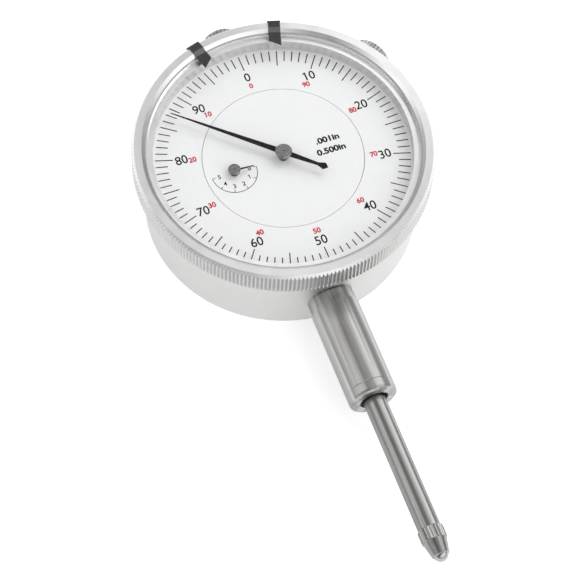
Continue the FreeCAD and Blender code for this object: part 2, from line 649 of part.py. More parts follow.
def make_stem():
    """The 3/8 in stem tube, the guide bushing whose head closes its end, and the upper one."""
    bore = "spindle_radius + spindle_gap"
    seam = 0.09
    keep(turned("stem_tube", [
        ("stem_bore", "stem_start"), ("stem_root", "stem_start"),
        ("stem_root", "stem_shoulder"), ("stem_radius", "stem_shoulder"),
        ("stem_radius", f"stem_seam - {seam}"), (f"stem_radius - {seam}", "stem_seam"),
        ("stem_bore", "stem_seam")], AXIS, DOWN_THE_STEM), "stem")
    keep(turned("stem_guide", [
        (bore, "stem_seam - guide_length"), ("stem_bore", "stem_seam - guide_length"),
        ("stem_bore", "stem_seam"), (f"stem_radius - {seam}", "stem_seam"),
        ("stem_radius", f"stem_seam + {seam}"), ("stem_radius", "stem_end - 0.75"),
        ("stem_radius - 0.14", "stem_end - 0.32"), ("stem_radius - 0.5", "stem_end"),
        ("stem_mouth + 0.12", "stem_end"), ("stem_mouth", "stem_end - 0.12"),
        ("stem_mouth", "stem_end - stem_mouth_depth"),
        (bore, "stem_end - stem_mouth_depth")], AXIS, DOWN_THE_STEM), "stem_bushing")
    keep(turned("upper_guide", [
        (bore, "bushing_start"), ("bushing_radius - 0.2", "bushing_start"),
        ("bushing_radius", "bushing_start + 0.2"), ("bushing_radius", "bushing_end"),
        (bore, "bushing_end")], AXIS, UP_THE_CAP), "upper_bushing")


def make_dust_cap():
    """The knurled cap screwed over the upper bushing."""
    blank = turned("cap_blank", [
        ("bushing_radius", "cap_start"), ("cap_radius - 0.2", "cap_start"),
        ("cap_radius", "cap_start + 0.2"), ("cap_radius", "cap_end - 0.25"),
        ("cap_radius - 0.25", "cap_end"), ("0", "cap_end"), ("0", "cap_end - cap_floor"),
        ("cap_bore", "cap_end - cap_floor"), ("cap_bore", "bushing_end + 0.1"),
        ("bushing_radius", "bushing_end + 0.1")], AXIS, UP_THE_CAP)
    star = shaped("cap_star", knurl("cap_radius", "knob_knurl_depth", "cap_teeth", "cap_end + 5"),
                  AXIS, UP_THE_CAP)
    keep(common("cap_knurled", blank, star), "dust_cap")


# ---------------------------------------------------------------- bezel, crystal and dials

def make_bezel():
    """The knurled bezel, which carries the crystal and the turning dial ring."""
    groove_low = "wire_height - wire_groove"
    groove_high = "wire_height + wire_groove"
    groove_radius = "skirt_bore + wire_groove"
    blank = turned("bezel_blank", [
        ("skirt_bore", "bezel_base"), ("bezel_radius - 0.5", "bezel_base"),
        ("bezel_radius", "bezel_base + bezel_lead"),
        ("bezel_radius", "bezel_top - bezel_bevel_drop"),
        ("bezel_radius - bezel_bevel", "bezel_top"), ("bezel_opening", "bezel_top"),
        ("seat_radius", "bezel_top - bezel_slope"), ("seat_radius", "crystal_base"),
        ("bezel_bore", "crystal_base"), ("bezel_bore", "dial_top"), ("dial_seat", "dial_top"),
        ("dial_seat", "lip_bottom"), ("lip_radius", "lip_bottom"), ("lip_radius", "groove_top"),
        ("skirt_bore", "groove_top"), ("skirt_bore", groove_high), (groove_radius, groove_high),
        (groove_radius, groove_low), ("skirt_bore", groove_low)])
    star = shaped("bezel_star", knurl("bezel_radius", "bezel_knurl_depth", "bezel_teeth",
                                      "bezel_top + 1"))
    keep(common("bezel_knurled", blank, star), "bezel")
    keep(turned("crystal_disc", [
        ("0", "crystal_base + crystal_film"), ("crystal_radius", "crystal_base + crystal_film"),
        ("crystal_radius", "crystal_top - 0.12"), ("crystal_radius - 0.12", "crystal_top"),
        ("0", "crystal_top")]), "crystal")
    keep(turned("gasket_ring", [
        ("crystal_radius + gasket_gap", "crystal_base"), ("seat_radius", "crystal_base"),
        ("seat_radius", "crystal_top - 0.14"),
        ("crystal_radius + gasket_gap", "crystal_top - 0.14")]),
        "crystal_gasket")
    keep(turned("dial_ring", [
        ("inner_dial_radius + dial_gap", "dial_base"), ("dial_ring_radius", "dial_base"),
        ("dial_ring_radius", "dial_top"), ("inner_dial_radius + dial_gap", "dial_top")]),
        "outer_dial")


def make_retaining_wire():
    """The open spring wire between the grooves of the neck and the bezel."""
    wire = doc.addObject("Part::Torus", "wire_ring")
    wire.setExpression("Radius1", formula("case_radius + running_gap / 2"))
    wire.setExpression("Radius2", formula("wire_radius"))
    wire.setExpression("Angle3", formula("360 - wire_opening"))
    opening_start = Rotation(Vector(0, 0, 1), 282)
    keep(put(wire, ("0", "0", "wire_height"), opening_start), "bezel_retaining_wire")


def make_inner_dial():
    """The fixed inner dial with three feet that stand in the front plate."""
    plate = turned("inner_disc", [
        ("0", "dial_base"), ("inner_dial_radius", "dial_base"),
        ("inner_dial_radius", "dial_top"), ("0", "dial_top")])
    feet = [turned("dial_foot", [
        ("0", "front_plate_base + 0.2"), ("dial_foot_radius", "front_plate_base + 0.2"),
        ("dial_foot_radius", "front_plate_top"), ("dial_foot_radius * 2", "front_plate_top"),
        ("dial_foot_radius * 2", "dial_base + 0.1"), ("0", "dial_base + 0.1")],
        on_circle("dial_foot_circle", angle, "0")) for angle in FOOT_ANGLES]
    solid = fused("dial_with_feet", [plate] + feet)
    holes = [cylinder("post_radius + 0.5", "2", ("0", "0", "dial_top - 1")),
             cylinder("post_radius + 0.4", "2", ARBORS["counter"] + ("dial_top - 1",))]
    keep(cut("inner_dial_cut", solid, holes), "inner_dial")


# ---------------------------------------------------------------- movement frame

def make_plates():
    """Rear and front plates, their pillars and their screws."""
    rear = cylinder("rear_plate_radius", "plate_thickness", ("0", "0", "ledge_height"))

    def rear_hole(radius, place):
        return cylinder(radius, "plate_thickness + 2", place + ("ledge_height - 1",))

    rear_holes = [rear_hole("arbor_radius + 0.5", ARBORS["rack"]),
                  rear_hole("front_screw + screw_gap", BRIDGE_SCREW),
                  rear_hole("0.8", SPRING_POST), rear_hole("stud_radius", HAIRSPRING_STUD)]
    rear_holes += [rear_hole("bush_radius", ARBORS[name])
                   for name in ("centre", "counter", "takeup")]
    rear_holes += [rear_hole("plate_screw + screw_gap", place) for place in GUIDE_SCREWS]
    for radius, circle, angles in (
            ("plate_screw + screw_gap", "plate_screw_circle", PLATE_SCREW_ANGLES),
            ("pillar_radius / 2", "pillar_circle", PILLAR_ANGLES)):
        rear_holes += [rear_hole(radius, on_circle(circle, angle, "0")[:2]) for angle in angles]
    notch_start = "(shoe_inner - shoe_wall_gap)"
    rear_holes.append(cylinder(
        "clamp_shank + shoe_wall_gap", "case_radius",
        (f"{notch_start} * sin(clamp_angle)", f"{notch_start} * cos(clamp_angle)", "clamp_height"),
        towards_clamp()))
    keep(cut("rear_plate_cut", rear, rear_holes), "rear_plate")

    front = cylinder("front_plate_radius", "front_plate_thickness", ("0", "0", "front_plate_base"))

    def front_hole(radius, place):
        return cylinder(radius, "front_plate_thickness + 2", place + ("front_plate_base - 1",))

    front_holes = [front_hole("bush_radius", place) for place in ARBORS.values()]
    for radius, circle, angles in (
            ("front_screw + screw_gap", "pillar_circle", PILLAR_ANGLES),
            ("dial_foot_radius", "dial_foot_circle", FOOT_ANGLES)):
        front_holes += [front_hole(radius, on_circle(circle, angle, "0")[:2]) for angle in angles]
    keep(cut("front_plate_cut", front, front_holes), "front_plate")

    tap = "front_screw + screw_gap"
    for number, angle in enumerate(PILLAR_ANGLES, start=1):
        keep(turned("pillar", [
            ("0", "ledge_height"), ("pillar_radius / 2", "ledge_height"),
            ("pillar_radius / 2", "plate_top"), ("pillar_radius", "plate_top"),
            ("pillar_radius", "front_plate_base"), (tap, "front_plate_base"),
            (tap, "front_plate_base - 2.4"), ("0", "front_plate_base - 2.4")],
            on_circle("pillar_circle", angle, "0")), f"plate_pillar_{number}")
    keep(group("front_screws", [
        screw("front_screw_blank", "front_screw * 1.8", "front_screw",
              "screw_head + front_plate_thickness + 2",
              on_circle("pillar_circle", angle, "front_plate_top + screw_head + 0.02"))
        for angle in PILLAR_ANGLES]), "front_plate_screws")
    keep(group("rear_screws", [
        screw("rear_screw_blank", "plate_screw * 1.7", "plate_screw",
              "screw_head + plate_thickness + 1.8",
              on_circle("plate_screw_circle", angle, "plate_top + screw_head + 0.02"))
        for angle in PLATE_SCREW_ANGLES]), "rear_plate_screws")


def make_bridge():
    """The bridge under the rear plate that carries the lower pivot of the rack arbor."""
    half_width = 2.0
    corner = place_of(rack_centre - Vector(BRIDGE_LEFT, half_width, 0)) + ("bridge_base",)
    column = block("3.8", f"{2 * half_width}", "ledge_height - bridge_base", corner)
    arm = block(f"{BRIDGE_LEFT} + bush_radius + 0.7", f"{2 * half_width}", "bridge_thickness",
                corner)
    solid = fused("bridge_solid", [column, arm])
    below = "bridge_base - 1"
    holes = [cylinder("bush_radius", "bridge_thickness + 2", ARBORS["rack"] + (below,)),
             cylinder("front_screw + screw_gap", "ledge_height", BRIDGE_SCREW + (below,)),
             cylinder("front_screw * 2", "1.7", BRIDGE_SCREW + (below,))]
    keep(cut("bridge_cut", solid, holes), "arbor_bridge")
    keep(screw("bridge_screw_blank", "front_screw * 1.8", "front_screw",
               "plate_top - bridge_base - 0.15", BRIDGE_SCREW + ("bridge_base + 0.1",),
               False, False), "bridge_screw")


def make_guide():
    """The slotted guide that keeps the spindle from turning and stops it at both ends."""
    web = block("guide_thickness", "guide_extent", "ledge_height - guide_bottom",
                ("guide_left", "guide_start", "guide_bottom"))
    flange_base = "ledge_height - guide_thickness * 0.9"
    flange = block("guide_flange", "guide_extent", "guide_thickness * 0.9",
                   ("guide_left", "guide_start", flange_base))
    slot = block("guide_thickness + 0.4", "slot_length", "2 * (pin_radius + pin_gap)",
                 ("guide_left - 0.2", "slot_start", "spindle_height - pin_radius - pin_gap"))
    hole = "plate_screw + screw_gap"
    sinks = [turned("guide_sink", [
        ("0", "-0.1"), ("plate_screw * 1.9", "-0.1"), ("plate_screw * 1.9", "0.02"),
        (hole, "screw_head + 0.05"), (hole, "2"), ("0", "2")], place + (flange_base,))
        for place in GUIDE_SCREWS]
    keep(cut("guide_cut", fused("guide_solid", [web, flange]), [slot] + sinks), "spindle_guide")
    keep(group("guide_screw_pair", [
        screw("guide_screw_blank", "plate_screw * 1.8", "plate_screw",
              "guide_thickness * 0.9 + plate_thickness - 0.15",
              place + (flange_base + " + 0.03",), True, False)
        for place in GUIDE_SCREWS]), "spindle_guide_screws")
    flange = "spring_post_radius + spring_wire"
    keep(turned("spring_post_turned", [
        ("0", "spindle_height - 1.3"), (flange, "spindle_height - 1.3"),
        (flange, "spindle_height - 0.5"), ("spring_post_radius", "spindle_height - 0.45"),
        ("spring_post_radius", "spindle_height + 0.45"), (flange, "spindle_height + 0.5"),
        (flange, "ledge_height"), ("0.8", "ledge_height"), ("0.8", "plate_top"),
        ("0", "plate_top")], SPRING_POST + ("0",)), "spring_post")


def eight_sided(radius, centre, across, up):
    """The section of drawn wire, as eight flats about a centre."""
    points = []
    for corner in range(8):
        angle = math.radians(22.5 + 45 * corner)
        points.append(centre + across * radius * math.cos(angle) + up * radius * math.sin(angle))
    return Part.makePolygon(points + [points[0]])


def make_return_spring():
    """The extension spring from the cross pin to its post, a ring at each end."""
    wire = size_of("spring_wire")
    mean = size_of("spring_radius")
    axis = Vector(size_of("spring_offset"), 0, size_of("spindle_height"))
    play = size_of("spring_ring_gap")
    upper_ring = size_of("pin_radius") + play + wire
    lower_ring = size_of("spring_post_radius") + play * 2 + wire
    upper_middle = size_of("pin_station") - play + 0.05
    lower_middle = spring_post_station + play - 0.05
    top = upper_middle - upper_ring
    bottom = lower_middle + lower_ring
    turns = math.floor((top - bottom) / size_of("spring_pitch")) + 0.75
    helix = Part.makeHelix((top - bottom) / turns, top - bottom, mean)
    section = eight_sided(wire, Vector(mean, 0, 0), Vector(1, 0, 0), Vector(0, 0, 1))
    coil = Part.Wire(helix.Edges).makePipeShell([section], True, True)
    lie = UP_THE_CAP * Rotation(Vector(0, 0, 1), 90)
    coil.Placement = Placement(axis + Vector(0, bottom, 0), lie)
    pieces = []
    for middle, radius, about in ((upper_middle, upper_ring, Vector(1, 0, 0)),
                                  (lower_middle, lower_ring, Vector(0, 0, 1))):
        side = about.cross(Vector(0, 1, 0))
        centre = axis + Vector(0, middle, 0)
        outline = eight_sided(wire, centre + side * radius, side, about)
        pieces.append(Part.Face(outline).revolve(centre, about, 360))
    for height, angle in ((bottom, 0), (top, 270)):
        end = lie.multVec(polar(mean, angle))
        outline = eight_sided(wire, axis + Vector(0, height, 0), Vector(0, 1, 0),
                              Vector(0, 1, 0).cross(end).normalize())
        pieces.append(Part.Face(outline).extrude(end))
    keep(shaped("spring_shape", coil.fuse(pieces)), "return_spring")


# ---------------------------------------------------------------- spindle and contact

def rack_cutter():
    """What is milled off the spindle to leave the rack teeth, in the frame of the whole."""
    pitch = size_of("rack_pitch")
    line = -size_of("rack_line")
    slope = math.tan(PRESSURE_ANGLE)
    tip = line - RACK_ADDENDUM * rack_module
    root = line + ROOT_DEPTH * rack_module
    half = pitch / 4 - size_of("tooth_thinning")
    clear = -size_of("spindle_radius") - 0.5
    reach = rack_pinion_radius * 1.3
    first = math.floor((-size_of("spindle_travel") - reach) / pitch)
    last = math.ceil(reach / pitch)
    at_root = half + (root - line) * slope
    at_tip = half - (line - tip) * slope
    start = rack_centre.y + (first - 0.5) * pitch
    points = [Vector(clear, start, 0), Vector(root, start, 0)]
    for tooth in range(first, last + 1):
        middle = rack_centre.y + tooth * pitch
        points += [Vector(root, middle - at_root, 0), Vector(tip, middle - at_tip, 0),
                   Vector(tip, middle + at_tip, 0), Vector(root, middle + at_root, 0)]
    end = rack_centre.y + (last + 0.5) * pitch
    points += [Vector(root, end, 0), Vector(clear, end, 0)]
    solid = prism(points, 2 * size_of("spindle_radius") + 1)
    solid.translate(Vector(0, 0, size_of("spindle_height") - size_of("spindle_radius") - 0.5))
    return solid


def make_spindle():
    """The spindle with its rack, the cross pin, the contact point and its ball."""
    tap_depth = "spindle_length - contact_stud_length - 0.3"
    blank = turned("spindle_blank", [
        ("0", "0"), ("spindle_radius - 0.3", "0"), ("spindle_radius", "0.3"),
        ("spindle_radius", "spindle_length"), ("contact_stud", "spindle_length"),
        ("contact_stud", tap_depth), ("0", tap_depth)],
        ("0", "spindle_top", "spindle_height"), DOWN_THE_STEM)
    pin_place = ("-pin_root", "pin_station", "spindle_height")
    pin_hole = cylinder("pin_radius", "spindle_radius + 2", pin_place, TO_THE_RIGHT)
    keep(cut("spindle_cut", blank, [shaped("rack_cutter", rack_cutter()), pin_hole]), "spindle")
    keep(turned("pin_turned", [
        ("0", "0"), ("pin_radius", "0"), ("pin_radius", "pin_root + pin_reach - 0.15"),
        ("pin_radius - 0.15", "pin_root + pin_reach"), ("0", "pin_root + pin_reach")],
        pin_place, TO_THE_RIGHT), "cross_pin")

    edge = 0.12
    collar = turned("contact_collar_turned", [
        ("0", "contact_shoulder"), (f"contact_radius - {edge}", "contact_shoulder"),
        ("contact_radius", f"contact_shoulder + {edge}"),
        ("contact_radius", f"cone_start - {edge}"), (f"contact_radius - {edge}", "cone_start"),
        ("0", "cone_start")], AXIS, DOWN_THE_STEM)
    star = shaped("contact_star", knurl("contact_radius", "0.1", "30", "cone_end + 5"), AXIS,
                  DOWN_THE_STEM)
    point = turned("contact_cone_turned", [
        ("0", "contact_shoulder - contact_stud_length"),
        ("contact_stud", "contact_shoulder - contact_stud_length"),
        ("contact_stud", "contact_shoulder + 0.1"), ("contact_cone_top", "contact_shoulder + 0.1"),
        ("contact_cone_top", "cone_start"), ("contact_cone_end", "cone_end - 0.2"),
        ("ball_radius - 0.06", "cone_end"), ("0", "cone_end")], AXIS, DOWN_THE_STEM)
    ball_place = ("0", "-(cone_end + ball_proud - ball_radius)", "spindle_height")
    solid = fused("contact_solid", [common("contact_knurled", collar, star), point])
    keep(cut("contact_cut", solid, [ball("ball_radius", ball_place)]), "contact_point")
    keep(ball("ball_radius", ball_place), "contact_ball")


# ---------------------------------------------------------------- arbors, gears and hands

def arbor(node, name, bottom, bush_top, top, upper_radius="pivot_radius"):
    """An arbor with a pivot at its foot and another pivot, or the post of a hand, at its top."""
    shoulder = f"{bush_top} + shoulder_gap"
    keep(turned(node + "_turned", [
        ("0", bottom), ("pivot_radius", bottom), ("pivot_radius", shoulder),
        ("arbor_radius", shoulder), ("arbor_radius", "front_plate_base - shoulder_gap"),
        (upper_radius, "front_plate_base - shoulder_gap"), (upper_radius, top),
        ("centre_hole", top), ("0", f"{top} - centre_hole * 1.6")],
        ARBORS[name] + ("0",)), node)


def bush(node, name, base, height, bore):
    """A brass pivot bush pressed into a plate."""
    keep(turned(node + "_turned", [
        (bore, base), ("bush_radius", base), ("bush_radius", f"{base} + {height}"),
        (bore, f"{base} + {height}")], ARBORS[name] + ("0",)), node)


def make_arbors():
    """The arbors of the gear train and the bushes that they turn in."""
    pivot_bore = "pivot_radius + pivot_gap"
    post_bore = "post_radius + pivot_gap"
    bush("rack_lower_bush", "rack", "bridge_base", "bridge_thickness", pivot_bore)
    for name in ("centre", "counter", "takeup"):
        bush(f"{name}_lower_bush", name, "ledge_height", "plate_thickness", pivot_bore)
    for name in ARBORS:
        bore = post_bore if name in ("centre", "counter") else pivot_bore
        bush(f"{name}_upper_bush", name, "front_plate_base", "front_plate_thickness", bore)
    foot = "ledge_height + 0.1"
    arbor("rack_arbor", "rack", "bridge_base + 0.1", "bridge_top", "front_plate_top - 0.1")
    arbor("centre_arbor", "centre", foot, "plate_top", "hub_top", "post_radius")
    arbor("counter_arbor", "counter", foot, "plate_top", "counter_hub_top", "post_radius")
    arbor("takeup_arbor", "takeup", foot, "plate_top", "front_plate_top - 0.1")


def make_gears():
    """Pinions and gears, every one cut so that it stands in mesh at rest."""
    module = size_of("tooth_module")
    large = round(size_of("large_teeth"))
    small = round(size_of("pinion_teeth"))
    rack_count = round(size_of("rack_teeth"))
    driver = round(size_of("counter_driver_teeth"))
    counter = round(size_of("counter_teeth"))
    width = size_of("gear_thickness")
    centre = Vector(0, 0, 0)

    gap_to_the_right = 180 / rack_count
    face = size_of("rack_pinion_length")
    gear("rack_pinion", rack_count, rack_module, gap_to_the_right, rack_centre,
         size_of("spindle_height") - face / 2, face, RACK_ADDENDUM)
    to_centre = direction_between(rack_centre, centre)
    gear("rack_gear", large, module, to_centre, rack_centre, size_of("rack_gear_base"), width)
    pinion_tooth = meshing_tooth(to_centre, large, small, to_centre)
    overlap = size_of("pinion_overlap")
    pinion_base = size_of("rack_gear_base") - overlap
    pinion_length = size_of("takeup_gear_base") + width + overlap - pinion_base
    gear("centre_pinion", small, module, pinion_tooth, centre, pinion_base, pinion_length)
    to_takeup = direction_between(centre, takeup_centre)
    gear("takeup_gear", large, module, meshing_tooth(pinion_tooth, small, large, to_takeup),
         takeup_centre, size_of("takeup_gear_base"), width)
    to_counter = direction_between(rack_centre, counter_centre)
    gear("counter_drive_gear", driver, counter_module, to_counter, rack_centre,
         size_of("counter_gear_base"), width)
    gear("counter_gear", counter, counter_module,
         meshing_tooth(to_counter, driver, counter, to_counter), counter_centre,
         size_of("counter_gear_base"), width)


def make_hairspring():
    """The flat spiral that takes up the backlash, its collet and its stud."""
    width = size_of("hairspring_width")
    strip = size_of("hairspring_strip")
    base = (size_of("plate_top + takeup_gear_base") - width) / 2
    collet = size_of("arbor_radius + hairspring_collet_wall")
    inner = collet + size_of("hairspring_gap") + strip / 2
    outer = size_of("hairspring_outer")
    sweep = 360 * size_of("hairspring_coils")
    start = direction_between(takeup_centre, stud_centre) - sweep
    steps = 64
    sides = []
    for offset in (-strip / 2, strip / 2):
        curve = Part.BSplineCurve()
        curve.interpolate([
            polar(inner + offset + (outer - inner) * step / steps, start + sweep * step / steps)
            for step in range(steps + 1)])
        sides.append(curve)
    ends = [Part.makeLine(sides[0].StartPoint, sides[1].StartPoint),
            Part.makeLine(sides[0].EndPoint, sides[1].EndPoint)]
    outline = Part.Wire(Part.sortEdges([side.toShape() for side in sides] + ends)[0])
    spiral = Part.Face(outline).extrude(Vector(0, 0, width))
    spiral.translate(takeup_centre + Vector(0, 0, base))
    keep(shaped("hairspring_shape", spiral), "hairspring")
    keep(turned("collet_turned", [
        ("arbor_radius", f"{base} - 0.2"),
        ("arbor_radius + hairspring_collet_wall", f"{base} - 0.2"),
        ("arbor_radius + hairspring_collet_wall", f"{base + width} + 0.15"),
        ("arbor_radius", f"{base + width} + 0.15")], ARBORS["takeup"] + ("0",)),
        "hairspring_collet")
    keep(turned("stud_turned", [
        ("0", "ledge_height"), ("stud_radius", "ledge_height"), ("stud_radius", f"{base + width}"),
        ("0", f"{base + width}")], HAIRSPRING_STUD + ("0",)), "hairspring_stud")


def make_hands():
    """Both hands and the hubs that hold them on their posts."""
    one_side = [("hand_length", "0.07"), ("0", "hand_half_width"),
                ("-tail_neck", "hand_half_width * 0.52"),
                ("-tail_shoulder", "hand_half_width * 1.28")]
    other_side = [(along, f"-({across})") for along, across in reversed(one_side)]
    blade = padded("main_blade", one_side + [("-tail_length", "0")] + other_side,
                   "hand_thickness", ("0", "0", "hand_height"),
                   Rotation(Vector(0, 0, 1), 90 + size_of("hand_angle")))
    ring = cylinder("hub_collar + 0.35", "hand_thickness", ("0", "0", "hand_height"))
    keep(cut("main_hand_cut", fused("main_hand_solid", [blade, ring]), [
        cylinder("hub_collar", "2", ("0", "0", "hand_height - 1"))]), "main_hand")
    keep(turned("hub_turned", [
        ("post_radius", "hand_height - 1.1"), ("hub_collar", "hand_height - 1.1"),
        ("hub_collar", "hand_height + hand_thickness"),
        ("hub_radius", "hand_height + hand_thickness"), ("hub_radius", "hub_top - 0.12"),
        ("hub_radius - 0.12", "hub_top"), ("post_radius", "hub_top")]), "main_hand_hub")

    foot = "dial_top + 0.15"
    blade = padded("counter_blade", [
        ("-1.1", "-0.2"), ("counter_hand_length", "-0.08"), ("counter_hand_length", "0.08"),
        ("-1.1", "0.2")], "hand_thickness", ARBORS["counter"] + ("counter_hand_height",),
        Rotation(Vector(0, 0, 1), size_of("counter_hand_angle")))
    ring = cylinder("counter_hub_collar + 0.3", "hand_thickness",
                    ARBORS["counter"] + ("counter_hand_height",))
    keep(cut("counter_hand_cut", fused("counter_hand_solid", [blade, ring]), [
        cylinder("counter_hub_collar", "2", ARBORS["counter"] + ("counter_hand_height - 1",))]),
        "counter_hand")
    keep(turned("counter_hub_turned", [
        ("post_radius", foot), ("counter_hub_collar", foot),
        ("counter_hub_collar", "counter_hand_height + hand_thickness"),
        ("counter_hub_radius", "counter_hand_height + hand_thickness"),
        ("counter_hub_radius", "counter_hub_top - 0.1"),
        ("counter_hub_radius - 0.1", "counter_hub_top"), ("post_radius", "counter_hub_top")],
        ARBORS["counter"] + ("0",)), "counter_hand_hub")


# ---------------------------------------------------------------- limit markers and bezel clamp

def limit_marker(node, angle, away):
    """A folded sheet clip over the bezel edge; away is +1 where its long corner is to the left."""
    side = [("marker_leg_out + marker_flare", "marker_foot - marker_flare"),
            ("marker_leg_out", "marker_foot"), ("marker_leg_out", "marker_knee"),
            ("marker_edge", "marker_over + marker_sheet"),
            ("marker_fold", "marker_over + marker_sheet"),
            ("marker_fold - marker_ramp", "marker_under + marker_sheet"),
            ("marker_tip - 1", "marker_under + marker_sheet"), ("marker_tip - 1", "marker_under"),
            ("marker_fold - marker_ramp", "marker_under"), ("marker_fold - 0.1", "marker_over"),
            ("marker_edge - 0.1", "marker_over"), ("marker_leg", "marker_knee - 0.08"),
            ("marker_leg", "marker_foot - 0.1"),
            ("marker_leg + marker_flare", "marker_foot - marker_flare - 0.1")]
    upright = Rotation(Vector(0, 0, 1), angle) * Rotation(Vector(1, 0, 0), 90)
    strip = padded(node + "_strip", side, "marker_leg_width", ("0", "0", "0"), upright, True)
    half = "marker_width / 2"
    wing = "marker_leg_width / 2 + marker_leg_side"
    corners = [("marker_tip", f"{half} * {away}"), ("marker_tip + marker_slant", f"{half} * {-away}"),
               ("bezel_radius - 0.3", f"{half} * {-away}"), ("bezel_radius - 0.3", f"({wing}) * {-away}"),
               ("bezel_radius + 3", f"({wing}) * {-away}"), ("bezel_radius + 3", f"({wing}) * {away}"),
               ("bezel_radius - 0.3", f"({wing}) * {away}"), ("bezel_radius - 0.3", f"{half} * {away}")]
    plan = padded(node + "_plan", corners, "bezel_top + 5", ("0", "0", "0"),
                  Rotation(Vector(0, 0, 1), angle))
    keep(common(node + "_cut", strip, plan), node)


def make_limit_markers():
    """The two clips that mark the limits of a tolerance."""
    limit_marker("limit_marker_left", 90 + size_of("marker_left_angle"), 1)
    limit_marker("limit_marker_right", 90 - size_of("marker_right_angle"), -1)


def make_clamp():
    """The knurled bezel clamp screw and the shoe that it draws out against the bezel lip."""
    wall = "case_radius + clamp_face_gap"
    blank = turned("clamp_blank", [
        ("0", "shoe_inner + 0.1"), ("clamp_shank", "shoe_inner + 0.1"), ("clamp_shank", wall),
        ("clamp_shoulder", wall), ("clamp_shoulder", "clamp_start"),
        ("clamp_radius - 0.3", "clamp_start"), ("clamp_radius", "clamp_start + 0.3"),
        ("clamp_radius", "clamp_end - 0.25"), ("clamp_radius - 0.25", "clamp_end"),
        ("0", "clamp_end")], ("0", "0", "clamp_height"), towards_clamp())
    star = shaped("clamp_star", knurl("clamp_radius", "knob_knurl_depth", "clamp_teeth",
                                      "clamp_end + 5"), ("0", "0", "clamp_height"),
                  towards_clamp())
    keep(common("clamp_knurled", blank, star), "clamp_screw")

    low = "plate_top + shoe_floor_gap"
    ledge = "neck_floor + shoe_floor_gap"
    high = "dial_base - shoe_floor_gap"
    ring = turned("shoe_ring", [
        ("shoe_inner", low), ("shoe_outer", low), ("shoe_outer", ledge),
        ("dial_seat - shoe_gap", ledge), ("dial_seat - shoe_gap", high), ("shoe_inner", high)])
    slab = block("case_radius", "shoe_width", "bezel_top", ("0", "0", "0"))
    angle = 90 - size_of("clamp_angle")
    turn = Rotation(Vector(0, 0, 1), angle)
    slab.Placement = Placement(turn.multVec(Vector(0, -size_of("shoe_width") / 2, 0)), turn)
    hole = cylinder("clamp_shank + clamp_shank_gap", "case_radius", ("0", "0", "clamp_height"),
                    towards_clamp())
    keep(cut("shoe_cut", common("shoe_block", ring, slab), [hole]), "clamp_shoe")


# ---------------------------------------------------------------- build, check and write

def check_and_write():
    """Stops on any failed object or unsound sub-part, then writes one file for each."""
    doc.recompute()
    for item in doc.Objects:
        if "Invalid" in item.State or "Error" in item.State:
            raise RuntimeError(f"{item.Name} failed: {item.State}")
    for piece in nodes:
        shape = piece.Shape
        if shape.isNull() or not shape.isValid() or not shape.Solids:
            raise RuntimeError(f"{piece.Label} has no sound solid")
    os.makedirs("parts", exist_ok=True)
    for piece in nodes:
        piece.Shape.exportStep(f"parts/{piece.Label}.step")
        print(f"{piece.Label}: {len(piece.Shape.Solids)} solid(s), {piece.Shape.Volume:.2f} mm3")
    print(f"{len(nodes)} sub-parts")


for make in (make_case, make_back_cover, make_stem, make_dust_cap, make_bezel,
             make_retaining_wire, make_inner_dial, make_plates, make_bridge, make_guide,
             make_return_spring, make_spindle, make_arbors, make_gears, make_hairspring,
             make_hands, make_limit_markers, make_clamp):
    make()
check_and_write()
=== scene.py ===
"""A dial indicator lying on its back on a pale floor.

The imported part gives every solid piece. This script adds the printed scales, the materials,
the floor, the lights and the camera. Lengths are in metres unless a name says otherwise.
"""

import math

import bpy
from mathutils import Matrix, Vector


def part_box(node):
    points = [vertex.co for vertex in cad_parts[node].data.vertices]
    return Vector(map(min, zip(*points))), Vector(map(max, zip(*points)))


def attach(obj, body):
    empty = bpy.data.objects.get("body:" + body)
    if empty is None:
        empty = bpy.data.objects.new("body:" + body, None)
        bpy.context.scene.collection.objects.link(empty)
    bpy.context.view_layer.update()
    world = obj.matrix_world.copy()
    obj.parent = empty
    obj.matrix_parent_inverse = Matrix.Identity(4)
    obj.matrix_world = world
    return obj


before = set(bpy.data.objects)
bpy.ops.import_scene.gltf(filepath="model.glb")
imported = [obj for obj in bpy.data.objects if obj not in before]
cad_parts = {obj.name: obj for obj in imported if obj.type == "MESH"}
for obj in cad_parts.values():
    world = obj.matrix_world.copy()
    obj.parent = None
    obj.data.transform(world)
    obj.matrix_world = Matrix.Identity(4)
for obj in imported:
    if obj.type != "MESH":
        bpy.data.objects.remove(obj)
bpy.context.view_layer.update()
MM = 0.001


# ---------------------------------------------------------------- node helpers

